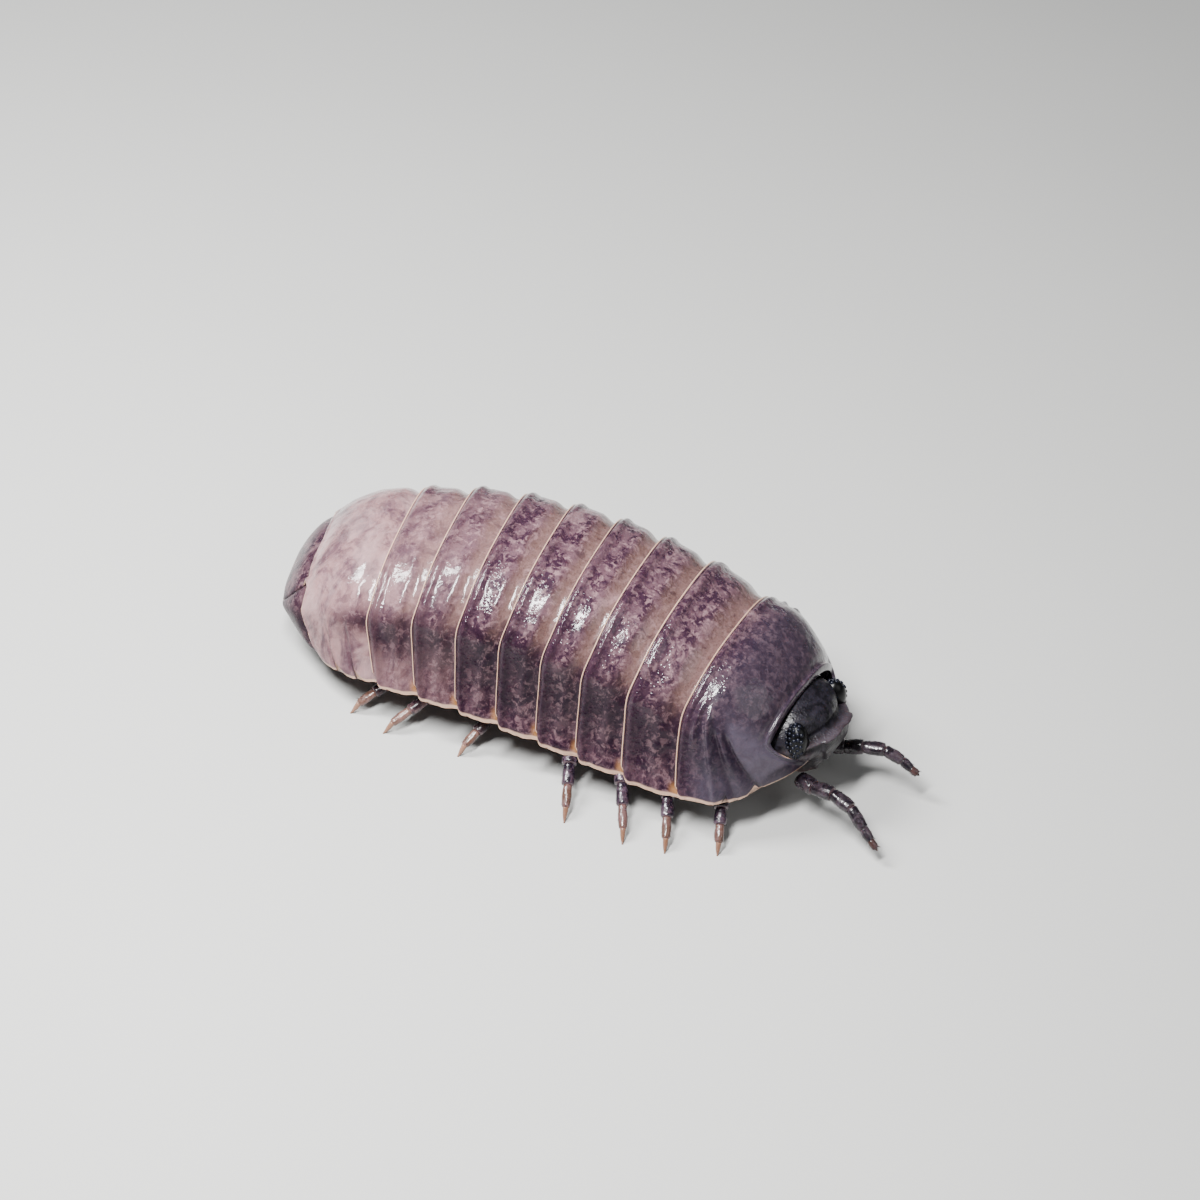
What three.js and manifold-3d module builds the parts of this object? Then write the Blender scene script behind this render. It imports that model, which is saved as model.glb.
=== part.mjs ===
// A pill woodlouse, still and life-size. Millimetres, +Z up, head towards -Y, feet on Z = 0.
import * as THREE from "three";
import { mergeVertices } from "three/addons/utils/BufferGeometryUtils.js";
import Module from "manifold-3d";

// Driving sizes
const CLEARANCE = 1.35; // floor to the lower edge of the side plates
const PLATE_LENGTHS = [1.84, 1.56, 1.35, 1.35, 1.35, 1.35, 1.35]; // plates 2 to 8 along the back
const FRONT_REACH = 3.5; // length of the rounded front end, ahead of plate 1's rear margin
const TAIL_REACH = 3.5; // length of the rounded tail, behind plate 8's rear margin
const HALF_WIDTH = { front: 3.47, middle: 3.52, rear: 3.39, head: [2, 0.66], tail: [2, 0.5] };
const HEIGHT = { front: 3.5, middle: 4.13, rear: 2.99, head: [2, 0.66], tail: [1.5, 0.7] };
const ROUNDNESS = 2.53; // exponent of the arched cross-section
const EDGE_DROP = 0.17; // how far the lower edge hangs below the arched section
const EDGE_FLARE = 0.12; // how far the lower edge turns outwards, as a share of the half width
const MARGIN_SWEEP = [0.44, -0.717, -0.128]; // backward bow of each margin down the flank
const BODY_PITCH = [0.034, -0.131, -0.383]; // rise of the axis in radians, front to rear
const BODY_TURN = 0.2065; // sideways bend from front to rear in radians
const SHELL = 0.4; // thickness of the plates
const GAP = 0.04; // slit between neighbouring pieces
const BELLY_LEVEL = 0.85; // underside of the trunk above the plates' lower edge
const LEG_RADIUS = { hip: 0.36, knee: 0.28, foot: 0.26 };
const ORIGIN_SHIFT = new THREE.Vector3(0.1655, 2.237, 0); // brings the middle of the outline to the origin

// Stations along the back: the rear margin of each plate
const MARGINS = [0];
for (const length of PLATE_LENGTHS) MARGINS.push(MARGINS[MARGINS.length - 1] + length);
const SPAN = MARGINS[MARGINS.length - 1];
const MIDDLE = MARGINS[4];

const clamp = THREE.MathUtils.clamp;
const lerp = THREE.MathUtils.lerp;
const smoothstep = THREE.MathUtils.smoothstep;
const power = (x, exponent) => Math.sign(x) * Math.abs(x) ** exponent;

// The body's own axis at lower-edge level: a point with its sideways, upward and backward directions
const AXIS_STEP = 0.05;
function directionsAt(s) {
  const q = (s - MIDDLE) / SPAN;
  const held = Math.max(q, -0.6);
  const pitch = BODY_PITCH[0] + BODY_PITCH[1] * held + BODY_PITCH[2] * held * held;
  const turn = -BODY_TURN * q;
  const back = new THREE.Vector3(
    Math.sin(turn) * Math.cos(pitch),
    Math.cos(turn) * Math.cos(pitch),
    Math.sin(pitch),
  );
  const side = new THREE.Vector3(Math.cos(turn), -Math.sin(turn), 0);
  return { side, back, up: side.clone().cross(back) };
}
function axisAt(s) {
  const point = new THREE.Vector3(0, 0, CLEARANCE).add(ORIGIN_SHIFT);
  const steps = Math.max(1, Math.round(Math.abs(s - MIDDLE) / AXIS_STEP));
  const step = (s - MIDDLE) / steps;
  for (let i = 0; i < steps; i++) {
    point.addScaledVector(directionsAt(MIDDLE + (i + 0.5) * step).back, step);
  }
  return { point, ...directionsAt(s) };
}
function place(frame, across, up, back = 0) {
  return frame.point
    .clone()
    .addScaledVector(frame.side, across)
    .addScaledVector(frame.up, up)
    .addScaledVector(frame.back, back);
}

// Arched cross-section: half width and height along the body. The head and tail pairs are the
// exponents of the taper past either end, where [2, 0.5] is an ellipse
function alongBody(size, s) {
  const q = clamp((2 * s) / SPAN - 1, -1, 1);
  const slope = (size.rear - size.front) / 2;
  const curve = (size.rear + size.front) / 2 - size.middle;
  const past = s < 0 ? -s / FRONT_REACH : Math.max(0, s - SPAN) / TAIL_REACH;
  const [first, second] = s < 0 ? size.head : size.tail;
  return (size.middle + slope * q + curve * q * q) * Math.max(0, 1 - past ** first) ** second;
}
// How high the lower edge of plate 1 rises towards its front lobe
const frontLift = (s) => 0.1 * smoothstep(-s, 0, 0.6) + 0.27 * smoothstep(-s, 1.4, 3.3);

// A point of the shell at station s, turned from the top of the back (0) to the lower edge (±90°)
function shellPoint(s, turn, inset) {
  const half = alongBody(HALF_WIDTH, s) - inset;
  const high = alongBody(HEIGHT, s) - inset;
  const rise = Math.max(0, Math.cos(turn)) ** (2 / ROUNDNESS);
  const drop = 1 - rise;
  const flare = 1 + EDGE_FLARE * clamp((drop - 0.6) / 0.4, 0, 1) ** 2;
  const sweep = MARGIN_SWEEP[0] * drop + MARGIN_SWEEP[1] * drop ** 2 + MARGIN_SWEEP[2] * drop ** 4;
  const across = half * power(Math.sin(turn), 2 / ROUNDNESS) * flare;
  const up = high * rise - EDGE_DROP * drop ** 5;
  return place(axisAt(s), across, up, sweep * clamp(1 + s / FRONT_REACH, 0, 1));
}
// The turn at which the shell stands a given height above the lower-edge level
function turnAtHeight(s, level) {
  const share = clamp(level / alongBody(HEIGHT, s), 0, 1);
  return Math.acos(share ** (ROUNDNESS / 2));
}

// Closed surfaces
function closedGeometry(points, faces) {
  let volume = 0;
  for (const [a, b, c] of faces) {
    volume += points[a].dot(points[b].clone().cross(points[c]));
  }
  const outward = volume < 0 ? faces.map(([a, b, c]) => [a, c, b]) : faces;
  const geometry = new THREE.BufferGeometry().setFromPoints(points);
  geometry.setIndex(outward.flat());
  geometry.computeVertexNormals();
  return geometry;
}
// Skins a row of like-numbered rings and closes both ends
function loft(rings) {
  const count = rings[0].length;
  const points = rings.flat();
  const faces = [];
  for (let r = 0; r + 1 < rings.length; r++) {
    for (let i = 0; i < count; i++) {
      const a = r * count + i;
      const b = r * count + ((i + 1) % count);
      faces.push([a, b, b + count], [a, b + count, a + count]);
    }
  }
  [0, rings.length - 1].forEach((r, end) => {
    const centre = new THREE.Vector3();
    rings[r].forEach((p) => centre.addScaledVector(p, 1 / count));
    const hub = points.push(centre) - 1;
    for (let i = 0; i < count; i++) {
      const a = r * count + i;
      const b = r * count + ((i + 1) % count);
      faces.push(end ? [a, b, hub] : [b, a, hub]);
    }
  });
  return closedGeometry(points, faces);
}
// A tube through points with a radius at each; both end rings lie level, so that feet are flat
function limb(points, radii, sides = 8) {
  const rings = points.map((centre, i) => {
    const before = points[Math.max(0, i - 1)];
    const after = points[Math.min(points.length - 1, i + 1)];
    const along = after.clone().sub(before).normalize();
    const level = i === 0 || i === points.length - 1;
    if (level) along.set(0, 0, Math.sign(along.z));
    const across = new THREE.Vector3(0, 1, 0).cross(along).normalize();
    const third = along.clone().cross(across).normalize();
    return Array.from({ length: sides }, (_, k) => {
      const angle = (2 * Math.PI * k) / sides;
      return centre
        .clone()
        .addScaledVector(across, radii[i] * Math.cos(angle))
        .addScaledVector(third, radii[i] * Math.sin(angle));
    });
  });
  return loft(rings);
}

// Cuts of one closed mesh by another
const wasm = await Module();
wasm.setup();
function solidOf(geometry) {
  const bare = new THREE.BufferGeometry();
  bare.setAttribute("position", geometry.getAttribute("position"));
  bare.setIndex(geometry.getIndex());
  const merged = mergeVertices(bare, 1e-4);
  return new wasm.Manifold(
    new wasm.Mesh({
      numProp: 3,
      vertProperties: merged.attributes.position.array,
      triVerts: new Uint32Array(merged.index.array),
    }),
  );
}
function geometryOf(solid) {
  const { vertProperties, triVerts } = solid.getMesh();
  const geometry = new THREE.BufferGeometry();
  geometry.setAttribute("position", new THREE.BufferAttribute(vertProperties, 3));
  geometry.setIndex(new THREE.BufferAttribute(triVerts, 1));
  geometry.computeVertexNormals();
  return geometry;
}
function cutAway(geometry, cutters) {
  let solid = solidOf(geometry);
  for (const cutter of cutters) solid = solid.subtract(solidOf(cutter));
  const largest = solid.decompose().sort((a, b) => b.volume() - a.volume())[0];
  return geometryOf(largest);
}

// Side plates and back of one ring of the shell, from its hidden front edge to its rear margin
const BAND = { across: 26, along: 4, bulge: 0.12, step: 0.1, corner: 0.42 };
function bandGeometry(front, rear) {
  const length = rear - front;
  const rings = [];
  for (let i = 0; i <= BAND.across; i++) {
    const share = (2 * i) / BAND.across - 1;
    const ring = [];
    const add = (t, inset) => {
      const s = lerp(front, rear, t);
      const past = Math.max(0, t * length - (length - BAND.corner));
      const lift = BAND.corner - Math.sqrt(BAND.corner ** 2 - past ** 2);
      ring.push(shellPoint(s, share * turnAtHeight(s, lift * 0.9), inset));
    };
    for (let j = 0; j <= BAND.along; j++) {
      const t = j / BAND.along;
      add(t, BAND.step * (1 - t) ** 3 - BAND.bulge * Math.sin(Math.PI * t) * 0.9);
    }
    add(1, SHELL);
    add(0, SHELL);
    rings.push(ring);
  }
  return loft(rings);
}

// Plate 1 ends in a hollowed front margin with a lobe on each side of the head
const COLLAR = { across: 34, along: 6, top: 2.4, lobe: 0.9 };
function collarGeometry(swell = 0) {
  const rings = [];
  for (let i = 0; i <= COLLAR.across; i++) {
    const share = (2 * i) / COLLAR.across - 1;
    const reach = COLLAR.top + swell + COLLAR.lobe * smoothstep(Math.abs(share), 0.6, 0.9);
    const ring = [];
    const add = (t, inset) => {
      const s = -reach * (1 - t);
      const past = Math.max(0, s + BAND.corner);
      const corner = BAND.corner - Math.sqrt(BAND.corner ** 2 - past ** 2);
      const lift = frontLift(s) + corner * 0.9 - swell;
      ring.push(shellPoint(s, share * turnAtHeight(s, Math.max(0, lift)), inset));
    };
    for (let j = 0; j <= COLLAR.along; j++) {
      const t = j / COLLAR.along;
      add(t, -BAND.bulge * Math.sin(Math.PI * t) * 0.9 - swell);
    }
    add(1, SHELL + swell);
    add(0.5, SHELL + swell);
    add(0, SHELL + swell);
    rings.push(ring);
  }
  return loft(rings);
}

// Belly and body mass under the plates
const TRUNK = { front: -1.35, rear: SPAN + 2.3, arc: 14 };
function undersideGeometry(swell = 0) {
  const tailStations = TAIL_MARGINS.filter((s) => s < TRUNK.rear);
  const stations = [TRUNK.front - swell, ...MARGINS, ...tailStations, TRUNK.rear];
  const inset = SHELL + 2 * GAP - swell;
  const rings = stations.map((s) => {
    const high = alongBody(HEIGHT, s) - inset;
    const edge = Math.acos(clamp((BELLY_LEVEL - swell) / high, 0, 1) ** (ROUNDNESS / 2));
    const ring = [];
    for (let i = 0; i <= TRUNK.arc; i++) {
      ring.push(shellPoint(s, edge * ((2 * i) / TRUNK.arc - 1), inset));
    }
    return ring;
  });
  return loft(rings);
}

// Tail: three short rings, then the telson between the two uropods
const TAIL_MARGINS = [SPAN + 0.62, SPAN + 1.3, SPAN + 2.2];
const TAIL_TIP = SPAN + 3.38;
const TELSON_SHARE = { front: 0.36, rear: 0.62 }; // part of the half section that the telson takes
function tailPieceGeometry(fromShare, toShare, columns) {
  const front = TAIL_MARGINS[2] + GAP;
  const rings = [];
  for (let i = 0; i <= columns; i++) {
    const ring = [];
    const add = (t, inset) => {
      const s = lerp(front, TAIL_TIP, t);
      const share = lerp(fromShare(t), toShare(t), i / columns);
      ring.push(shellPoint(s, share * turnAtHeight(s, 0.12), inset));
    };
    for (let j = 0; j <= 5; j++) add(j / 5, 0);
    add(1, SHELL * 0.6);
    add(0.5, SHELL);
    add(0, SHELL);
    rings.push(ring);
  }
  return loft(rings);
}
const telsonEdge = (t) => lerp(TELSON_SHARE.front, TELSON_SHARE.rear, t);
const slit = (t) => 0.02 + 0.05 * t;

// Swimming-plates under the tail
function pleopodsGeometry() {
  const rings = [];
  const rows = 8;
  for (let r = 0; r <= rows; r++) {
    const s = lerp(SPAN + 0.1, SPAN + 2.2, r / rows);
    const frame = axisAt(s);
    const half = 1.35 * Math.sqrt(1 - 0.5 * (r / rows) ** 2);
    const low = 0.28 + 0.12 * (r % 2);
    const ring = [
      [-half, BELLY_LEVEL - GAP * 2],
      [-half, low + 0.12],
      [-half * 0.6, low],
      [-0.08, low + 0.04],
      [0.08, low + 0.04],
      [half * 0.6, low],
      [half, low + 0.12],
      [half, BELLY_LEVEL - GAP * 2],
    ];
    rings.push(ring.map(([across, up]) => place(frame, across, up)));
  }
  return loft(rings);
}

// Head: an egg shape held in the collar, with a frontal shield and a narrow mouth below
const HEAD = { station: -2.15, level: 1.0, half: 1.62, front: 1.42, crown: 1.02, chin: 1.7 };
const headFrame = axisAt(HEAD.station);
const inHead = (across, up, ahead) => place(headFrame, across, up, -ahead);
function onHead(across, up, ahead) {
  const width = HEAD.half * across * (up < 0 ? 1 + 0.5 * up : 1);
  const shield = 0.14 * smoothstep(ahead, 0.7, 0.95) * smoothstep(up, -0.5, 0.1);
  const high = up * (up > 0 ? HEAD.crown : HEAD.chin);
  return inHead(width, HEAD.level + high, HEAD.front * ahead + shield);
}
function headBall() {
  const sphere = new THREE.SphereGeometry(1, 22, 14);
  sphere.deleteAttribute("normal");
  sphere.deleteAttribute("uv");
  const ball = mergeVertices(sphere, 1e-5);
  const position = ball.getAttribute("position");
  const points = [];
  for (let i = 0; i < position.count; i++) {
    points.push(onHead(position.getX(i), position.getY(i), position.getZ(i)));
  }
  const index = Array.from(ball.getIndex().array);
  const faces = [];
  for (let i = 0; i < index.length; i += 3) faces.push(index.slice(i, i + 3));
  return closedGeometry(points, faces);
}

// Eyes: small domes on the sides of the head
const EYE = { across: 1.16, up: 1.36, ahead: 0.66, radii: [0.36, 0.62, 0.42] };
function eyeGeometry(hand, swell = 0) {
  const ball = new THREE.SphereGeometry(1, 14, 10);
  ball.scale(EYE.radii[0] + swell, EYE.radii[2] + swell, EYE.radii[1] + swell);
  ball.rotateY(hand * 0.6);
  const centre = inHead(hand * EYE.across, EYE.up, EYE.ahead);
  ball.translate(centre.x, centre.y, centre.z);
  ball.deleteAttribute("normal");
  ball.deleteAttribute("uv");
  const merged = mergeVertices(ball, 1e-5);
  merged.computeVertexNormals();
  return merged;
}

// Antennae: a jointed stalk that turns down at its elbow, ending in a short whip
const ANTENNAE = {
  right: [
    { across: -0.9, up: -0.2, ahead: 0.85 },
    { across: -1.05, up: -0.15, ahead: 1.5 },
    { across: -1.1, up: -0.02, ahead: 2.1 },
    { across: -1.2, up: 0.0, ahead: 2.5 },
    { across: -1.32, up: -0.2, ahead: 2.85 },
    { across: -1.55, up: -0.7, ahead: 3.6 },
    { across: -1.6, up: -0.85, ahead: 3.8 },
  ],
  left: [
    { across: 0.9, up: -0.2, ahead: 0.85 },
    { across: 1.15, up: -0.15, ahead: 1.5 },
    { across: 1.35, up: 0.02, ahead: 2.1 },
    { across: 1.45, up: 0.0, ahead: 2.55 },
    { across: 1.5, up: -0.12, ahead: 2.9 },
    { across: 1.52, up: -0.36, ahead: 3.35 },
    { across: 1.52, up: -0.44, ahead: 3.55 },
  ],
};
const ANTENNA_RADII = [0.3, 0.29, 0.27, 0.27, 0.26, 0.25, 0.25];
function antennaGeometry(side, swell = 0) {
  const points = ANTENNAE[side].map((a) => inHead(a.across, a.up, a.ahead));
  const rings = points.map((centre, i) => {
    const before = points[Math.max(0, i - 1)];
    const after = points[Math.min(points.length - 1, i + 1)];
    const along = after.clone().sub(before).normalize();
    const across = new THREE.Vector3(0, 0, 1).cross(along).normalize();
    const third = along.clone().cross(across);
    return Array.from({ length: 8 }, (_, k) => {
      const angle = (2 * Math.PI * k) / 8;
      return centre
        .clone()
        .addScaledVector(across, (ANTENNA_RADII[i] + swell) * Math.cos(angle))
        .addScaledVector(third, (ANTENNA_RADII[i] + swell) * Math.sin(angle));
    });
  });
  return loft(rings);
}

// Legs: seven pairs, each a chain from the belly, under the plate's edge, out to the foot
const HIPS = [-0.9, 0.9, 2.6, 4.05, 5.4, 6.8, 8.1]; // stations
const FEET = [
  { s: -2.2, across: 4.05 },
  { s: -0.8, across: 4.85 },
  { s: 0.5, across: 5.2 },
  { s: 2.5, across: 5.3 },
  { s: 6.65, across: 4.25 },
  { s: 9.15, across: 4.25 },
  { s: 10.4, across: 3.8 },
];
const HIP_ACROSS = 1.75;
function legGeometry(pair, hand) {
  const hip = place(axisAt(HIPS[pair]), hand * HIP_ACROSS, BELLY_LEVEL - 0.1);
  const foot = place(axisAt(FEET[pair].s), hand * FEET[pair].across, 0);
  foot.z = 0;
  const knee = hip.clone().lerp(foot, 0.4).setZ(CLEARANCE - 0.35);
  const under = hip.clone().lerp(foot, 0.66).setZ(CLEARANCE - 0.62);
  const ankle = hip.clone().lerp(foot, 0.86).setZ(0.42);
  const { hip: wide, knee: mid, foot: thin } = LEG_RADIUS;
  const path = [
    [hip, wide],
    [hip.clone().lerp(knee, 0.5), mid * 0.92],
    [knee, mid],
    [knee.clone().lerp(under, 0.55), mid * 0.86],
    [under, mid * 0.94],
    [under.clone().lerp(ankle, 0.55), thin],
    [ankle, thin * 1.05],
    [foot, thin],
  ];
  return limb(
    path.map(([point]) => point),
    path.map(([, radius]) => radius),
  );
}

// Assembly
const woodlouse = new THREE.Group();
const SHELL_COLOUR = 0x6f6271;
function addNode(name, geometry, colour, roughness = 0.35) {
  const material = new THREE.MeshStandardMaterial({ color: colour, roughness, metalness: 0 });
  const mesh = new THREE.Mesh(geometry, material);
  mesh.name = name;
  woodlouse.add(mesh);
}

const HANDS = [
  { name: "right", sign: -1 },
  { name: "left", sign: 1 },
];

const headCutters = [collarGeometry(GAP), undersideGeometry(GAP)];
for (const { name, sign } of HANDS) {
  headCutters.push(eyeGeometry(sign, GAP), antennaGeometry(name, GAP));
}
addNode("head", cutAway(headBall(), headCutters), 0x4b4b58);
for (const { name, sign } of HANDS) {
  addNode("eye_" + name, cutAway(eyeGeometry(sign), [collarGeometry(GAP)]), 0x101014, 0.2);
  addNode("antenna_" + name, antennaGeometry(name), 0x5d535c);
}

addNode("plate_1", collarGeometry(), SHELL_COLOUR);
for (let k = 1; k < MARGINS.length; k++) {
  addNode("plate_" + (k + 1), bandGeometry(MARGINS[k - 1] + GAP, MARGINS[k]), SHELL_COLOUR);
}
TAIL_MARGINS.forEach((rear, k) => {
  const front = (k ? TAIL_MARGINS[k - 1] : SPAN) + GAP;
  addNode("pleonite_" + (k + 1), bandGeometry(front, rear), 0x84727b);
});
addNode(
  "telson",
  tailPieceGeometry((t) => -telsonEdge(t), telsonEdge, 10),
  0x84727b,
);
for (const { name, sign } of HANDS) {
  const inner = (t) => sign * (telsonEdge(t) + slit(t));
  addNode("uropod_" + name, tailPieceGeometry(inner, () => sign, 5), 0x5a4c60);
}

addNode("underside", undersideGeometry(), 0x8d7c78, 0.6);
addNode("pleopods", pleopodsGeometry(), 0xb9aaa4, 0.5);
for (let pair = 0; pair < HIPS.length; pair++) {
  for (const { name, sign } of HANDS) {
    addNode("leg_" + (pair + 1) + "_" + name, legGeometry(pair, sign), 0x7d6c72, 0.4);
  }
}

export default woodlouse;
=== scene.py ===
"""A pill woodlouse, still and life-size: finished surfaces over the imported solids."""

import math
from collections import namedtuple

import bpy
import numpy as np
from mathutils import Matrix, Vector

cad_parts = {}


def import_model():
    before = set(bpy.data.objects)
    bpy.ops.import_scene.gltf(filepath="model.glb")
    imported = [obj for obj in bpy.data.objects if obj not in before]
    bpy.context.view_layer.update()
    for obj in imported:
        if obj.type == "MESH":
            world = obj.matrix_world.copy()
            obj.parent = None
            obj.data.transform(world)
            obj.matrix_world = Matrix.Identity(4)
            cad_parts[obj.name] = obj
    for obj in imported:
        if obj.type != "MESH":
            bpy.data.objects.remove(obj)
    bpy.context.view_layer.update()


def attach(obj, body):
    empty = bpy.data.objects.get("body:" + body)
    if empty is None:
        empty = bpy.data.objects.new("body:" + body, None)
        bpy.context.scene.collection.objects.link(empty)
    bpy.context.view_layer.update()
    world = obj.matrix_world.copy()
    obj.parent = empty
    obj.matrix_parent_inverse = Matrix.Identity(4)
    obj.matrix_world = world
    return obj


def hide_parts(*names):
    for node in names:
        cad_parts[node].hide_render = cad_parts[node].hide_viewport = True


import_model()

# Driving sizes in millimetres, the same as the solids' but for the knee and the tail's height
MM = 0.001
CLEARANCE = 1.35  # the plates' lower edge above the floor
PLATE_LENGTHS = [1.84, 1.56, 1.35, 1.35, 1.35, 1.35, 1.35]
FRONT_REACH = 3.5
TAIL_REACH = 3.5
HALF_WIDTH = {"front": 3.47, "middle": 3.52, "rear": 3.39, "head": (2, 0.66), "tail": (2, 0.5)}
HEIGHT = {"front": 3.5, "middle": 4.13, "rear": 2.99, "head": (2, 0.66), "tail": (1.7, 0.62)}
ROUNDNESS = 2.53
EDGE_DROP = 0.17
EDGE_FLARE = {"from": 0.6, "by": 0.12}
MARGIN_SWEEP = (0.44, -0.717, -0.128)
KNEE = {"middle": 0.44, "front_rise": 0.1, "bow": 0.06, "width": 0.13}
FRONT_LIFTS = ((0.1, 0, 0.6), (0.27, 1.4, 3.3))  # height, and the stretch over which it is reached
BODY_PITCH = (0.034, -0.131, -0.383)
PITCH_HELD_FROM = -0.6
BODY_TURN = 0.2065
BELLY_LEVEL = 0.85
ORIGIN_SHIFT = (0.1655, 2.237)
TAIL_MARGINS = (0.62, 1.3, 2.2)
TAIL_LENGTH = 3.38

MARGINS = np.concatenate([[0], np.cumsum(PLATE_LENGTHS)])
SPAN = MARGINS[-1]
MIDDLE = MARGINS[4]


def smooth(x, low, high):
    """An eased step from 0 at low to 1 at high."""
    t = np.clip((x - low) / (high - low), 0, 1)
    return t * t * (3 - 2 * t)


def bell(x, centre, width):
    return np.exp(-(((x - centre) / width) ** 2))


def ridge(x, height, centre, width):
    return height * bell(x, centre, width)


# Repeatable soft noise in space
LATTICE_SIZE = 32
LATTICE = np.random.default_rng(11).uniform(-1, 1, (LATTICE_SIZE,) * 3)


def noise(points, per_mm, offset=0.0):
    """Smooth noise from -1 to 1 at each point, with about per_mm features in a millimetre."""
    p = points * per_mm + offset
    cell = np.floor(p).astype(int)
    f = p - cell
    f = f * f * (3 - 2 * f)
    total = 0
    for corner in np.ndindex(2, 2, 2):
        share = np.where(corner, f, 1 - f)
        weight = share[..., 0] * share[..., 1] * share[..., 2]
        at = (cell + corner) % LATTICE_SIZE
        total = total + weight * LATTICE[at[..., 0], at[..., 1], at[..., 2]]
    return total


def layered_noise(points, layers):
    """Sum of noises, each given as its height, its features in a millimetre and its offset."""
    return sum(height * noise(points, per_mm, offset) for height, per_mm, offset in layers)


# The body's own axis, at the level of the plates' lower edge
def directions(s):
    """Sideways, backward and upward directions at a station."""
    q = (s - MIDDLE) / SPAN
    held = np.maximum(q, PITCH_HELD_FROM)
    pitch = BODY_PITCH[0] + BODY_PITCH[1] * held + BODY_PITCH[2] * held * held
    turn = -BODY_TURN * q
    level = np.cos(pitch)
    back = np.stack([np.sin(turn) * level, np.cos(turn) * level, np.sin(pitch)], -1)
    side = np.stack([np.cos(turn), -np.sin(turn), np.zeros_like(turn)], -1)
    return side, back, np.cross(side, back)


AXIS_STEP = 0.02
AXIS_STEPS = 520  # each way from the middle of the trunk
AXIS_S = MIDDLE + np.arange(-AXIS_STEPS, AXIS_STEPS + 1) * AXIS_STEP


def axis_points():
    strides = directions(AXIS_S[:-1] + AXIS_STEP / 2)[1] * AXIS_STEP
    points = np.concatenate([[[0, 0, 0]], np.cumsum(strides, 0)])
    return points - points[AXIS_STEPS] + (*ORIGIN_SHIFT, CLEARANCE)


AXIS_POINTS = axis_points()


def place(s, across, up, back=0.0):
    """World points for body coordinates: station, sideways, upward and backward."""
    given = (np.asarray(v, float) for v in (s, across, up, back))
    s, across, up, back = np.broadcast_arrays(*given)
    side_way, back_way, up_way = directions(s)
    point = np.stack([np.interp(s, AXIS_S, AXIS_POINTS[:, i]) for i in range(3)], -1)
    return point + side_way * across[..., None] + up_way * up[..., None] + back_way * back[..., None]


def along_body(size, s):
    """A size of the arched section at a station, tapering past both ends of the trunk."""
    q = np.clip(2 * s / SPAN - 1, -1, 1)
    slope = (size["rear"] - size["front"]) / 2
    curve = (size["rear"] + size["front"]) / 2 - size["middle"]
    head_past = np.clip(-s / FRONT_REACH, 0, 1)
    tail_past = np.clip((s - SPAN) / TAIL_REACH, 0, 1)
    taper = (1 - head_past ** size["head"][0]) ** size["head"][1]
    taper = taper * (1 - tail_past ** size["tail"][0]) ** size["tail"][1]
    return (size["middle"] + slope * q + curve * q * q) * taper


def front_lift(s):
    return sum(height * smooth(-s, start, end) for height, start, end in FRONT_LIFTS)


def turn_at_height(s, level):
    share = np.clip(level / np.maximum(along_body(HEIGHT, s), 1e-6), 0, 1)
    return np.arccos(share ** (ROUNDNESS / 2))


def drop_at(turn):
    """How far down the flank a turn of the section lies, 0 on top to 1 at the edge."""
    return 1 - np.clip(np.cos(turn), 0, 1) ** (2 / ROUNDNESS)


def shell_point(s, turn, outset):
    """A point of the arched shell, outset from its own surface."""
    half = along_body(HALF_WIDTH, s) + outset
    high = along_body(HEIGHT, s) + outset
    drop = drop_at(turn)
    flare = 1 + EDGE_FLARE["by"] * np.clip((drop - EDGE_FLARE["from"]) / (1 - EDGE_FLARE["from"]), 0, 1) ** 2
    sweep = MARGIN_SWEEP[0] * drop + MARGIN_SWEEP[1] * drop**2 + MARGIN_SWEEP[2] * drop**4
    knee = KNEE["middle"] - KNEE["front_rise"] * smooth(-s, -1.0, 0.0)
    sweep = sweep + ridge(drop, KNEE["bow"], knee, KNEE["width"])
    across = half * np.sign(turn) * np.abs(np.sin(turn)) ** (2 / ROUNDNESS) * flare
    up = high * (1 - drop) - EDGE_DROP * drop**5
    return place(s, across, up, sweep * np.clip(1 + s / FRONT_REACH, 0, 1))


# Meshes
def mesh_object(name, points, quads, caps, material, attributes=None):
    """An object in millimetre points, four-sided faces and many-sided caps."""
    mesh = bpy.data.meshes.new(name)
    corners = np.concatenate([np.asarray(quads).ravel(), *caps]).astype(np.int32)
    sizes = np.array([4] * len(quads) + [len(cap) for cap in caps])
    starts = np.concatenate([[0], np.cumsum(sizes)[:-1]]).astype(np.int32)
    mesh.vertices.add(len(points))
    mesh.vertices.foreach_set("co", (np.asarray(points) * MM).astype(np.float32).ravel())
    mesh.loops.add(len(corners))
    mesh.loops.foreach_set("vertex_index", corners)
    mesh.polygons.add(len(sizes))
    mesh.polygons.foreach_set("loop_start", starts)
    for key, values in (attributes or {}).items():
        layer = mesh.attributes.new(key, "FLOAT", "POINT")
        layer.data.foreach_set("value", np.asarray(values, np.float32).ravel())
    mesh.polygons.foreach_set("use_smooth", [True] * len(sizes))
    mesh.materials.append(material)
    mesh.update(calc_edges=True)
    piece = bpy.data.objects.new(name, mesh)
    bpy.context.scene.collection.objects.link(piece)
    return piece


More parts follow.
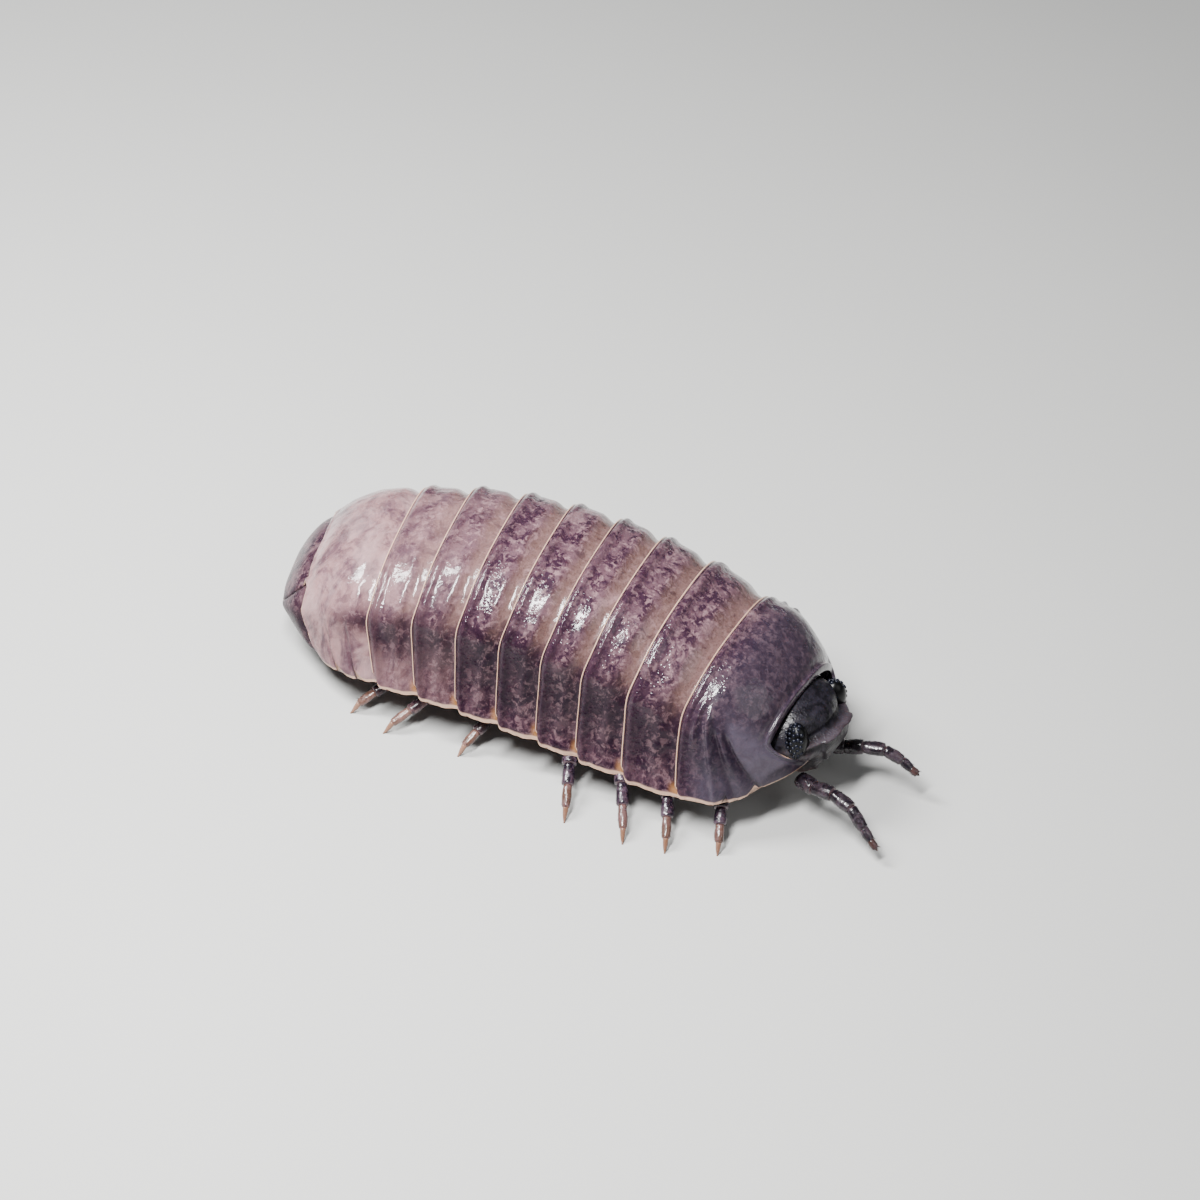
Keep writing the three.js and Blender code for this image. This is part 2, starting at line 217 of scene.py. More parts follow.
class Build:
    """Collects closed bodies, each skinned over rows of rings, into one mesh."""

    def __init__(self):
        self.points = []
        self.quads = []
        self.caps = []
        self.values = {}
        self.count = 0

    def rings(self, rings, **values):
        rings = np.asarray(rings, float)
        rows, sides = rings.shape[:2]
        r, i = np.meshgrid(np.arange(rows - 1), np.arange(sides), indexing="ij")
        a = r * sides + i
        b = r * sides + (i + 1) % sides
        quads = np.stack([a, b, b + sides, a + sides], -1).reshape(-1, 4)
        caps = [np.arange(sides)[::-1], (rows - 1) * sides + np.arange(sides)]
        points = rings.reshape(-1, 3)
        if enclosed_volume(points, quads, caps) < 0:
            quads = quads[:, ::-1]
            caps = [cap[::-1] for cap in caps]
        self.points.append(points)
        self.quads.append(quads + self.count)
        self.caps += [cap + self.count for cap in caps]
        for key, value in values.items():
            spread = np.broadcast_to(np.asarray(value, float).ravel(), len(points))
            self.values.setdefault(key, []).append(spread)
        self.count += len(points)

    def make(self, name, material):
        joined = {key: np.concatenate(parts) for key, parts in self.values.items()}
        points = np.concatenate(self.points)
        return mesh_object(name, points, np.concatenate(self.quads), self.caps, material, joined)


def one_body(name, material, rings, **values):
    build = Build()
    build.rings(rings, **values)
    return build.make(name, material)


def enclosed_volume(points, quads, caps):
    """Six times the volume inside, negative where the faces look inwards."""
    middle = points - points.mean(0)
    a, b, c, d = (middle[quads[:, k]] for k in range(4))
    total = (np.cross(a, b) * c).sum() + (np.cross(a, c) * d).sum()
    for cap in caps:
        total += (np.cross(middle[cap[1:-1]], middle[cap[2:]]) @ middle[cap[0]]).sum()
    return total


def tube_rings(path, radii, sides, flat=1.0, twist_axis=(0, 0, 1)):
    """Rings round a path, with a radius at each point; flat squeezes them one way."""
    path = np.asarray(path, float)
    radii = np.asarray(radii, float)[:, None, None]
    along = np.gradient(path, axis=0)
    along /= np.linalg.norm(along, axis=1, keepdims=True)
    first = np.cross(np.broadcast_to(twist_axis, along.shape), along)
    first /= np.linalg.norm(first, axis=1, keepdims=True) + 1e-9
    second = np.cross(along, first)
    angle = np.linspace(0, 2 * math.pi, sides, endpoint=False)
    return (
        path[:, None]
        + radii * np.cos(angle)[None, :, None] * first[:, None]
        + flat * radii * np.sin(angle)[None, :, None] * second[:, None]
    )


def curve_through(points, samples):
    """A smooth path through a few points, by Catmull-Rom pieces."""
    p = np.asarray(points, float)
    p = np.concatenate([[2 * p[0] - p[1]], p, [2 * p[-1] - p[-2]]])
    t = np.linspace(0, 1, samples, endpoint=False)[:, None]
    pieces = []
    for a, b, c, d in zip(p, p[1:], p[2:], p[3:]):
        square = (2 * a - 5 * b + 4 * c - d) * t**2
        cube = (3 * b - a - 3 * c + d) * t**3
        pieces.append(0.5 * (2 * b + (c - a) * t + square + cube))
    return np.concatenate([*pieces, [p[-2]]])


def ball_grid(rings, sides):
    """Directions over a sphere whose poles lie to the left and right."""
    theta = np.linspace(0.02, math.pi - 0.02, rings)[:, None]
    phi = np.linspace(0, 2 * math.pi, sides, endpoint=False)[None, :]
    return np.cos(theta) + 0 * phi, np.sin(theta) * np.cos(phi), np.sin(theta) * np.sin(phi)


# Shader building blocks
class Shader:
    """Short names for the nodes of one procedural material."""

    def __init__(self, name):
        self.material = bpy.data.materials.new(name)
        self.material.use_nodes = True
        self.tree = self.material.node_tree
        self.place = self.stretched(self.node("TexCoord").outputs["Object"], (1 / MM,) * 3)

    def link(self, source, socket):
        if hasattr(source, "links"):
            self.tree.links.new(source, socket)
        elif socket.type == "RGBA":
            socket.default_value = (*source, 1.0)
        else:
            socket.default_value = source

    def node(self, kind, **inputs):
        node = self.tree.nodes.new("ShaderNode" + kind)
        for name, value in inputs.items():
            self.link(value, node.inputs[name])
        return node

    def attribute(self, name):
        node = self.node("Attribute")
        node.attribute_name = name
        return node.outputs["Fac"]

    def calculate(self, operation, a, b, kind="Math"):
        node = self.node(kind)
        node.operation = operation
        self.link(a, node.inputs[0])
        self.link(b, node.inputs[1])
        return node.outputs[0]

    def stretched(self, vector, factors):
        return self.calculate("MULTIPLY", vector, factors, "VectorMath")

    def add(self, a, b):
        return self.calculate("ADD", a, b)

    def times(self, a, b):
        return self.calculate("MULTIPLY", a, b)

    def larger(self, a, b):
        return self.calculate("MAXIMUM", a, b)

    def step(self, value, low, high, from_value=0.0, to_value=1.0):
        node = self.node("MapRange")
        node.interpolation_type = "SMOOTHSTEP"
        for socket, v in zip(node.inputs, (value, low, high, from_value, to_value)):
            self.link(v, socket)
        return node.outputs[0]

    def noise(self, per_mm, detail=3.0, rough=0.55, stretch=(1.0, 1.0, 1.0), warp=0.0):
        place = self.stretched(self.place, stretch)
        form = {"Scale": per_mm, "Detail": detail, "Roughness": rough, "Distortion": warp}
        return self.node("TexNoise", Vector=place, **form).outputs["Fac"]

    def cells(self, per_mm):
        return self.node("TexVoronoi", Vector=self.place, Scale=per_mm).outputs["Distance"]

    def mix(self, share, a, b):
        node = self.node("Mix")
        node.data_type = "RGBA"
        colours_in = [socket for socket in node.inputs if socket.type == "RGBA"]
        for value, socket in zip((share, a, b), (node.inputs["Factor"], *colours_in)):
            self.link(value, socket)
        return next(socket for socket in node.outputs if socket.type == "RGBA")

    def painted(self, colour, *layers):
        """The colour with layers over it, each given as where it lies, its strength and its tint."""
        for where, strength, tint in layers:
            colour = self.mix(self.times(where, strength), colour, tint)
        return colour

    def bump(self, height, strength, distance, **below):
        node = self.node("Bump", Height=height, Strength=strength, Distance=distance * MM, **below)
        return node.outputs[0]

    def finish(self, **inputs):
        surface = self.tree.nodes["Principled BSDF"]
        for name, value in inputs.items():
            self.link(value, surface.inputs[name.replace("_", " ")])
        return self.material


def srgb(red, green, blue):
    """Linear colour from screen values of 0 to 255."""
    return tuple((v / 255) ** 2.2 for v in (red, green, blue))


# Colours of the shell, then of the head and eyes
CREAM = srgb(196, 160, 138)
MILK = srgb(152, 118, 118)
PEARL = srgb(178, 152, 152)
TAN = srgb(98, 76, 71)
MAUVE = srgb(88, 66, 73)
PINK = srgb(134, 106, 110)
PURPLE = srgb(48, 31, 43)
DEEP = srgb(24, 11, 24)
SLATE = srgb(38, 32, 42)
DUSK = srgb(56, 47, 56)
ICE = srgb(84, 77, 89)
AMBER = srgb(166, 116, 64)
HEAD_DARK = srgb(14, 12, 17)
HEAD_LIGHT = srgb(32, 29, 36)
FACE = srgb(48, 40, 44)
BROW_GREY = srgb(66, 57, 62)
EYE_BLACK = srgb(5, 5, 7)
LENS_DARK = srgb(10, 10, 16)
LENS_LIGHT = srgb(24, 27, 42)


class ShellShader(Shader):
    """A material with the mesh values and noises that the colours of the shell are built from."""

    def __init__(self, name):
        super().__init__(name)
        for value in ("along", "drop", "edge", "pale", "blue", "dark"):
            setattr(self, value, self.attribute(value))
        self.broad = self.noise(0.8, 4.0, 0.6, warp=0.5)
        self.medium = self.noise(2.1, 6.0, 0.68, warp=0.7)
        self.small = self.noise(5.5, 5.0, 0.65, warp=0.5)
        self.blotch = self.step(self.noise(1.5, 4.0, 0.6, warp=1.4), 0.56, 0.66)
        self.wavy = self.add(self.along, self.times(self.add(self.medium, -0.5), 0.4))
        wander = self.add(self.add(self.broad, self.medium), -1.0)
        self.down = self.add(self.drop, self.times(wander, 0.35))


def banded_colour(m):
    """Mottled purple and pink, with a tan front band, a dark rear band and a dark flank."""
    upper = m.step(m.down, 0.5, 0.3)
    front_band = m.times(m.step(m.wavy, 0.42, 0.16), upper)
    rear_band = m.times(m.step(m.wavy, 0.5, 0.78), m.step(m.drop, 0.0, 0.3, 0.55, 1.0))
    cloud = m.times(m.step(m.noise(1.2, 3.0, 0.6, warp=0.9), 0.56, 0.7), upper)
    knee = m.times(m.step(m.down, 0.24, 0.52), m.step(m.down, 1.0, 0.6, 0.55, 1.0))
    knee = m.times(knee, m.step(m.wavy, 0.85, 0.35, 0.75, 1.0))
    knee = m.times(knee, m.step(m.small, 0.45, 0.65, 1.0, 0.75))
    low = m.times(m.step(m.drop, 0.75, 0.95), m.step(m.small, 0.4, 0.6))
    colour = m.painted(
        m.mix(m.step(m.medium, 0.43, 0.57), PURPLE, MAUVE),
        (m.step(m.small, 0.5, 0.62), 0.65, PINK),
        (front_band, 0.75, TAN),
        (rear_band, 0.8, PURPLE),
        (m.blotch, 0.45, DEEP),
        (cloud, 0.5, PINK),
        (m.step(m.cells(6.0), 0.2, 0.08), 0.15, PINK),
        (m.step(m.noise(16.0, 3.0, 0.6), 0.5, 0.64), 0.3, DEEP),
        (knee, 0.9, DEEP),
        (low, 0.3, MAUVE),
    )
    return m.mix(m.blue, colour, m.mix(m.step(m.small, 0.4, 0.65), SLATE, DUSK))


def milky_colour(m):
    """The pale colour of the tail, or icy grey where the plate is blue."""
    streaky = m.noise(0.9, 5.0, 0.7, (1.0, 1.6, 0.6), 0.6)
    milky = m.painted(
        m.mix(m.step(streaky, 0.4, 0.62), MILK, MAUVE),
        (m.step(m.broad, 0.44, 0.6), m.step(m.pale, 0.6, 0.9, 0.0, 0.5), PEARL),
        (m.step(m.small, 0.5, 0.7), 0.3, PINK),
        (m.blotch, 0.4, MAUVE),
    )
    icy = m.painted(ICE, (m.step(m.medium, 0.4, 0.65), 0.5, DUSK))
    return m.mix(m.step(m.blue, 0.05, 0.3), milky, icy)


def edge_colours(m, colour):
    """Amber in the front corners, and a cream line along the rear rim and the lower edge."""
    corner = m.times(m.step(m.along, 0.2, 0.02), m.step(m.edge, 0.2, 0.06))
    line = m.larger(m.step(m.along, 0.962, 0.972), m.step(m.edge, 0.04, 0.02))
    border = m.times(line, m.step(m.dark, 0.7, 0.2))
    return m.painted(colour, (corner, 0.45, AMBER), (border, 0.9, CREAM))


def wet_shell(name, wetness, grain):
    """Glossy translucent shell, grainier towards the rear of each plate."""
    m = ShellShader(name)
    # the dark value is painted shade in the fold grooves and notches of plate 1, and darker lines and
    # patches on the tail
    colour = m.painted(banded_colour(m), (m.pale, 0.85, milky_colour(m)), (m.dark, 1.0, DEEP))
    grainy = m.times(m.step(m.along, 0.3, 0.7, 0.15, 1.0), m.step(m.along, 0.96, 0.93))
    granules = m.times(m.step(m.cells(10.0), 0.5, 0.05), grainy)
    skin = m.bump(granules, grain, 0.02, Normal=m.bump(m.small, 0.2, 0.03))
    return m.finish(
        Base_Color=edge_colours(m, colour),
        Roughness=m.step(m.medium, 0.3, 0.75, 0.24, 0.38),
        Specular_IOR_Level=0.08,
        Coat_Weight=m.step(m.drop, 0.3, 0.6, wetness, 0.4 * wetness),
        Coat_Roughness=0.06,
        Coat_IOR=1.4,
        Coat_Normal=skin,
        Subsurface_Weight=0.1,
        Subsurface_Scale=0.2 * MM,
        Subsurface_Radius=(1.0, 0.5, 0.4),
        Normal=skin,
    )


# Sheets of shell
OVERLAP = 0.2  # how far a plate runs under the one in front
EDGE_SCALE = 1.25  # brings a share across to about its millimetres from the lower edge
SHEET_LUMPS = ((0.014, 1.7, 0.0), (0.008, 4.5, 3.3), (0.005, 9.0, 7.7))
MOST_ROUNDED = 0.96


def stretches(*parts):
    """Rising shares, from stretches given as their start, their end and their count."""
    return np.concatenate([np.linspace(*part) for part in parts])


def shares_across(count):
    """Shares from -1 to 1 across the back, closer together at the lower edges."""
    return np.sin(np.linspace(-1, 1, count) * math.pi / 2)


def rounding(near, half_thick):
    """How much a sheet thins towards its edge, near millimetres away, to round it."""
    inward = np.clip(1 - near / half_thick, 0, MOST_ROUNDED)
    return half_thick * (1 - np.sqrt(1 - inward**2))


def corner_lift(past, radius):
    """How much a rounded corner raises the lower edge, past millimetres into the corner."""
    return radius - np.sqrt(radius**2 - np.clip(past, 0, radius) ** 2)


def closed_sheet(name, material, outer, inner, under, values):
    """One closed body of an outer face and the given columns of its inner face."""

    def both_faces(grid):
        grid = np.broadcast_to(grid, outer.shape[:2])
        return np.concatenate([grid, grid[:, under]], 1)

    spread = {key: both_faces(value) for key, value in values.items()}
    return one_body(name, material, np.concatenate([outer, inner[:, under]], 1), **spread)


def shell_sheet(name, material, form, stations, lift, outward, colours, rounded_front=False):
    """A thin closed sheet of shell over shares across (rows) and along (columns)."""
    e = shares_across(form["rows"])[:, None]
    t = stretches(*form["columns"])[None, :]
    edge_thick, swell = form["thick"]
    s = stations(t, e)
    length = np.abs(stations(np.ones_like(t), e) - stations(np.zeros_like(t), e))
    turn = e * turn_at_height(s, lift(s))
    drop = drop_at(turn)
    edge = (1 - np.abs(e)) * along_body(HALF_WIDTH, s) * EDGE_SCALE
    near = np.minimum(edge, (1 - t) * length)
    if rounded_front:
        near = np.minimum(near, t * length)
    half_thick = (edge_thick + swell * np.sin(math.pi * t) + 0 * e) / 2
    round_off = rounding(near, half_thick)
    out = outward(s, t, e, drop)
    outer = shell_point(s, turn, out - round_off)
    inner = shell_point(s, turn, out - 2 * half_thick + round_off)
    push = outer - inner
    push /= np.linalg.norm(push, axis=-1, keepdims=True) + 1e-9
    lumps = layered_noise(outer, SHEET_LUMPS) * smooth(near, 0.0, 0.2)
    outer = outer + push * lumps[..., None]
    under = np.arange(t.size - 1, -1, -3)
    if under[-1] != 0:
        under = np.append(under, 0)
    values = {"along": t, "drop": drop, "edge": edge, "pale": 0.0, "blue": 0.0, "dark": 0.0}
    values.update(colours(s, t, e, drop))
    return closed_sheet(name, material, outer, inner, under, values)


# Plates 2 to 8: a sheet thickens from its ends to its middle, and a ridge has a height, centre and width
PLATE_SHEET = {
    "rows": 230,
    "columns": ((0, 0.1, 6), (0.13, 0.66, 18), (0.6685, 1, 40)),
    "thick": (0.13, 0.07),
}
PLATE = {
    "corner": 0.45,
    "lip": 0.03,
    "sunken": 0.13,
    "swell": 0.09,
    "flap": (0.42, 0.62),
    "roll": (0.06, 0.84, 0.085),
    "flap_roll": (0.03, 0.84, 0.085),
    "rim": (0.05, 0.982, 0.014),
    "groove": (-0.03, 0.945, 0.016),
    "hollow": (-0.06, 0.5, 0.2),
    "fold": (0.035, 0.42, 0.09),
    "knee": (0.05, 0.4, 0.1),
}
PALE_FROM = 7.0  # the station where the pale colour of the tail begins
BLUE_REACH = 4.0  # how far the slate of the head reaches back over the plates


def lower_lip(drop):
    return PLATE["lip"] * smooth(drop, 0.9, 0.97)


def plate_piece(number, material):
    """One of plates 2 to 8: tucked front, sunken smooth band, swelling, roll, groove and rim."""
    margin, rear = MARGINS[number - 2], MARGINS[number - 1]
    front = margin - OVERLAP
    tail = smooth(rear, PALE_FROM, SPAN + 1.5)

    def share(s):
        return (s - margin) / (rear - margin)

    def stations(t, e):
        return front + (rear - front) * t + 0 * e

    def lift(s):
        u = share(s)
        corner = 0.9 * corner_lift(s - rear + PLATE["corner"], PLATE["corner"])
        return corner + 0.1 * np.clip(u, 0, 1) ** 2 + 0.05 * (1 - smooth(u, -0.1, 0.25))

    def outward(s, t, e, drop):
        u = share(s)
        flap = smooth(drop, *PLATE["flap"])
        relief = (
            -PLATE["sunken"] * (1 - smooth(u, 0.1, 0.4)),
            PLATE["swell"] * np.clip(u, 0, 0.86) ** 1.3,
            ridge(u, *PLATE["roll"]) + ridge(u, *PLATE["flap_roll"]) * flap,
            ridge(u, *PLATE["rim"]) + ridge(u, *PLATE["groove"]) - 0.05 * smooth(u, 0.9, 1),
            ridge(u, *PLATE["hollow"]) * flap,
            ridge(u - 0.5 * (drop - 0.75), *PLATE["fold"]) * smooth(drop, 0.52, 0.72),
            ridge(drop, *PLATE["knee"]) * smooth(u, 0.2, 0.6),
            lower_lip(drop),
        )
        return sum(relief)

    def colours(s, t, e, drop):
        pale = 0.1 + 0.45 * smooth(drop, 0.5, 0.2) + 0.4 * smooth(drop, 0.55, 0.8)
        return {"along": share(s), "pale": tail * pale, "blue": 0.1 * smooth(-s, -BLUE_REACH, 0)}

    return shell_sheet("shell_plate_%d" % number, material, PLATE_SHEET, stations, lift, outward, colours)


# Plate 1: each fold on its flank starts at a station, leans forward and runs from one drop to another
Fold = namedtuple("Fold", "start lean height width top end")
COLLAR_FOLDS = (
    Fold(-0.5, 0.1, 0.09, 0.09, 0.16, 0.5),
    Fold(-0.86, 0.9, 0.11, 0.1, 0.22, 0.88),
    Fold(-1.02, 1.45, -0.07, 0.09, 0.34, 1.0),
    Fold(-1.18, 1.9, 0.08, 0.1, 0.34, 0.9),
    Fold(-1.3, 2.2, -0.1, 0.09, 0.34, 1.0),
)
FOLD_TOP = 0.38
FOLD_FADE = 0.12
COLLAR_SHEET = {
    "rows": 300,
    "columns": ((0, 0.1, 18), (0.11, 0.86, 58), (0.868, 1, 36)),
    "thick": (0.15, 0.08),
}
COLLAR = {
    "top": 2.4,
    "lobe": 0.9,
    "lobe_from": (0.6, 0.9),
    "corner": 0.5,
    "notches": (-1.6, -2.25),
    "notch_depth": 0.13,
    "notch_width": 0.045,
    "rear_ridges": ((0.05, -0.026, 0.02), (-0.03, -0.08, 0.022), (0.07, -0.2, 0.11)),
    "front_ridges": ((0.07, 0.05, 0.05), (-0.05, 0.19, 0.08)),
    "lobe_ridges": ((-0.05, -1.9, 0.3), (-0.05, -1.2, 0.25)),
}


def collar_fold(f, s, drop):
    window = smooth(drop, f.top, f.top + FOLD_FADE) * (1 - smooth(drop, f.end, f.end + FOLD_FADE))
    return window * bell(s + f.lean * (drop - FOLD_TOP), f.start, f.width)


def collar_reach(e):
    """How far plate 1 reaches forward: further at the lobes than on top."""
    return COLLAR["top"] + COLLAR["lobe"] * smooth(np.abs(e), *COLLAR["lobe_from"])


def collar_relief(s, t, e, drop):
    swell = 0.06 * np.sin(math.pi * t) ** 0.8 - 0.06 * (1 - smooth(-s, 0.1, 1.1)) * smooth(drop, 0.5, 0.2)
    rear = sum(ridge(s, *r) for r in COLLAR["rear_ridges"])
    front = sum(ridge(t * collar_reach(e), *r) for r in COLLAR["front_ridges"])
    folds = sum(f.height * collar_fold(f, s, drop) for f in COLLAR_FOLDS)
    cheek = ridge(s, 0.05, -2.2, 0.45) * bell(drop, 0.5, 0.2)
    cheek = cheek - ridge(drop, 0.04, 0.86, 0.06) * smooth(-s, 1.8, 2.4)
    return swell + rear + front + folds + cheek + lower_lip(drop)


def collar_colours(s, t, e, drop):
    """Slate plate with an icy patch on the lobe, and painted shade in the fold grooves and at the notches.
    """
    icy_line = -(s + 2.2 * (drop - FOLD_TOP) + 1.3)
    icy_low = 0.86 - 0.44 * np.clip((-s - 2.25) / 0.85, 0, 1)
    icy = smooth(icy_line, -0.02, 0.3) * smooth(drop, 0.16, 0.42) * smooth(icy_low - drop, -0.06, 0.08)
    lower = smooth(drop, 0.6, 0.85) * smooth(-s, 0.4, 1.0)
    # painted shade: the fold grooves and the notches in the lower edge are darkened through the dark value
    folds = sum(collar_fold(f, s, drop) for f in COLLAR_FOLDS if f.height < 0)
    notch_shade = sum(bell(s, station, 0.09) * smooth(drop, 0.84, 0.92) for station in COLLAR["notches"])
    front_edge = 3.0 * t + 0.01 + 0.05 * smooth(0.75 - np.abs(e), 0, 0.1)
    return {
        "along": np.maximum(0.36, 1 + s / 1.6),
        "blue": 0.9 * smooth(-s, -0.3, 1.1),
        "pale": 0.8 * icy + 0.35 * lower * (1 - icy),
        "dark": np.clip(0.4 * folds + 0.9 * notch_shade, 0, 1),
        "edge": np.minimum((1 - np.abs(e)) * 3.5, front_edge),
    }


def collar_piece(material):
    """Plate 1, hollowed in front for the head, with a lobe on each side."""
    corner = COLLAR["corner"]
    furthest = COLLAR["top"] + COLLAR["lobe"]

    def stations(t, e):
        return -collar_reach(e) * (1 - t)

    def lift(s):
        depth, width = COLLAR["notch_depth"], COLLAR["notch_width"]
        notches = sum(ridge(s, depth, station, width) for station in COLLAR["notches"])
        lobes = sum(ridge(s, *r) for r in COLLAR["lobe_ridges"])
        rear_corner = 0.85 * corner_lift(s + corner, corner)
        front_corner = 0.8 * corner_lift(-s - furthest + corner, corner)
        return front_lift(s) + rear_corner + front_corner + notches + lobes + 0.05

    shape = (COLLAR_SHEET, stations, lift, collar_relief, collar_colours)
    return shell_sheet("shell_plate_1", material, *shape, rounded_front=True)


# Tail
TAIL_SHEET = {"rows": 270, "columns": ((0, 0.86, 60), (0.868, 1, 24)), "thick": (0.13, 0.07)}
TAIL_DOME = {
    "corner": 0.36,
    "tooth": (0.12, 0.42, 0.03),
    "bay": (-0.05, 0.5, 0.05),
    "rim": (0.03, 0.975, 0.02),
}
TAIL_PLATE = {"thick": 0.18, "rounded": 1.2, "under": 0.3, "blunt": 0.14, "shorter_sides": 0.24}
TELSON_SIDE = (0.36, 0.26)  # its share of the half section in front, and how much it widens
UROPOD_SLIT = 0.008


def tail_dome_piece(material):
    """The smooth dome of the tail rings, whose lower edge shows three lobes."""
    front = SPAN - OVERLAP
    rear = SPAN + TAIL_MARGINS[2]

    def lift(s):
        run = s - SPAN
        level = 0 * run
        for start, end in zip((0, *TAIL_MARGINS), TAIL_MARGINS):
            inside = (run > start) & (run <= end + 0.05)
            rounded = 1.1 * corner_lift(run - end + TAIL_DOME["corner"], TAIL_DOME["corner"])
            level = np.where(inside, rounded, level)
        return level + 0.05

    def stations(t, e):
        tooth = ridge(np.abs(e), *TAIL_DOME["tooth"]) + ridge(np.abs(e), *TAIL_DOME["bay"])
        wander = np.stack([e * 9 + 0 * t, 0 * e + 0 * t, 0 * e + 0 * t], -1)
        ragged = layered_noise(wander, ((0.07, 1.0, 0.5), (0.04, 3.0, 0.5)))
        return front + (rear + tooth + ragged - front) * t

    def outward(s, t, e, drop):
        run = s - SPAN
        steps = 0.0
        for margin in TAIL_MARGINS[:2]:
            steps = steps + ridge(run, 0.05, margin - 0.05, 0.06) - ridge(run, 0.05, margin + 0.05, 0.05)
        steps = steps * smooth(np.abs(e), 0.66, 0.88)
        sunken = -PLATE["sunken"] * (1 - smooth(run, 0.05, 0.5))
        end = ridge(t, *TAIL_DOME["rim"]) - 0.05 * smooth(t, 0.8, 1)
        return sunken + 0.03 * np.sin(math.pi * t) + steps + end

    def colours(s, t, e, drop):
        run = s - SPAN
        lines = sum(bell(run, margin + 0.03, 0.04) for margin in TAIL_MARGINS[:2])
        shaded = 0.75 * bell(drop, 0.45, 0.12) * (1 - smooth(run, 0.5, 1.5))
        return {
            "along": 0.5 + 0.48 * smooth(t, 0.955, 0.985),
            "pale": 0.8 + 0.15 * smooth(t, 0.7, 1) - shaded,
            "dark": 0.9 * lines * smooth(np.abs(e), 0.9, 0.98),
        }

    return shell_sheet("shell_tail_rings", material, TAIL_SHEET, stations, lift, outward, colours)


def tail_end_piece(name, sides, material, rows):
    """The telson or a uropod, between two side lines, each a share in front and its growth."""
    thick = TAIL_PLATE["thick"]
    front = SPAN + TAIL_MARGINS[2] - TAIL_PLATE["under"]
    u = shares_across(rows)[:, None] / 2 + 0.5
    t = np.sin(np.linspace(0, math.pi / 2, 40))[None, :]
    first, second = (start + growth * t for start, growth in sides)
    share = first + (second - first) * u
    end = SPAN + TAIL_LENGTH - TAIL_PLATE["blunt"]
    end = end - TAIL_PLATE["shorter_sides"] * smooth(np.abs(share), 0.2, 1.0)
    s = front + (end - front) * t
    turn = share * turn_at_height(s, 0.06)
    width = np.abs(second - first) * along_body(HALF_WIDTH, s)
    near = np.minimum(np.minimum(u, 1 - u) * width, (1 - t) * TAIL_PLATE["rounded"])
    round_off = rounding(near, thick / 2)
    out = -0.12 * (1 - smooth(t, 0.1, 0.6)) - 0.03 + 0.05 * np.sin(math.pi * u) * smooth(t, 0.1, 0.5)
    top = shell_point(s, turn, out - round_off)
    below = shell_point(s, turn, out - thick + round_off)
    values = {
        "along": 0.55 + 0.42 * smooth(t, 0.9, 0.98),
        "drop": drop_at(turn),
        "edge": (1 - t) * TAIL_PLATE["rounded"] + 0.02,
        "pale": 0.05,
        "blue": 0.1,
        "dark": 0.3 * smooth(t, 0.0, 0.2) * smooth(0.97 - t, 0, 0.1),
    }
    return closed_sheet(name, material, top, below, np.arange(t.size)[::-1], values)


def telson_piece(material):
    start, growth = TELSON_SIDE
    return tail_end_piece("telson_shell", ((-start, -growth), TELSON_SIDE), material, 60)


def uropod_piece(side, hand, material):
    start, growth = TELSON_SIDE
    sides = ((hand * (start + UROPOD_SLIT), hand * growth), (hand, 0))
    return tail_end_piece("uropod_%s_shell" % side, sides, material, 50)


# Head
HEAD_STATION = -2.15
HEAD = {"level": 1.0, "half": 1.68, "front": 1.34, "crown": 1.2, "chin": 1.7, "shield": 0.14}
BROW = {"level": 0.36, "fall": 0.3, "height": 0.16, "width": 0.045, "half": 0.85}
HEAD_MOUNDS = {  # height, then centre and width sideways and upwards
    "antenna_lobe": (0.13, (0.66, 0.09), (-0.08, 0.14)),
    "antenna_socket": (-0.18, (0.6, 0.13), (-0.42, 0.15)),
    "outer_jaw": (0.1, (0.38, 0.09), (-0.75, 0.17)),
    "cheek": (0.06, (0.86, 0.08), (-0.2, 0.3)),
}
HEAD_LUMPS = ((0.012, 2.6, 0.0), (0.007, 7.0, 1.9))


def in_head(across, up, ahead):
    return place(HEAD_STATION, across, up, -np.asarray(ahead, float))


def on_head(a, u, f, swell):
    """A point of the head's surface in the direction across, up and forward of its middle."""
    width = (HEAD["half"] + swell) * a * np.where(u < 0, 1 + 0.5 * u, 1)
    shield = HEAD["shield"] * smooth(f, 0.7, 0.95) * smooth(u, -0.5, 0.1)
    high = u * np.where(u > 0, HEAD["crown"] + swell, HEAD["chin"] + swell)
    return in_head(width, HEAD["level"] + high, (HEAD["front"] + swell) * f + shield)


def brow_height(a):
    return BROW["level"] - BROW["fall"] * np.abs(a) ** 1.6


def head_relief(a, u, f):
    """Frontal shield, brow ridge, antenna sockets and mouth plates, in millimetres."""
    side = np.abs(a)
    brow_level = brow_height(a)
    face = smooth(f, 0.1, 0.45)
    brow = ridge(u, BROW["height"], brow_level, BROW["width"]) * smooth(BROW["half"] - side, 0, 0.15)
    behind = ridge(u, -0.1, brow_level + 0.13, 0.08) * smooth(0.8 - side, 0, 0.2)
    crown_roll = ridge(u, 0.05, 0.72, 0.14)
    shield = 0.12 * smooth(0.46 - side - 0.6 * np.maximum(0, -u), 0, 0.06) * smooth(u, -0.5, -0.35)
    shield = shield * smooth(brow_level + 0.03 - u, 0, 0.05)
    mounds = sum(high * bell(side, *out) * bell(u, *up) for high, out, up in HEAD_MOUNDS.values())
    lip = ridge(u, 0.07, -0.55, 0.05) * smooth(0.4 - side, 0, 0.1)
    inner_jaw = ridge(side, 0.12, 0.13, 0.09) * smooth(-u, 0.55, 0.7)
    palps = ridge(side, 0.14, 0.16, 0.1) * smooth(-u, 0.6, 0.8) * (1 - face)
    parting = ridge(side, -0.1, 0, 0.05) * smooth(-u, 0.5, 0.7)
    return (brow + behind + crown_roll + shield + mounds + lip + inner_jaw) * face + palps + parting


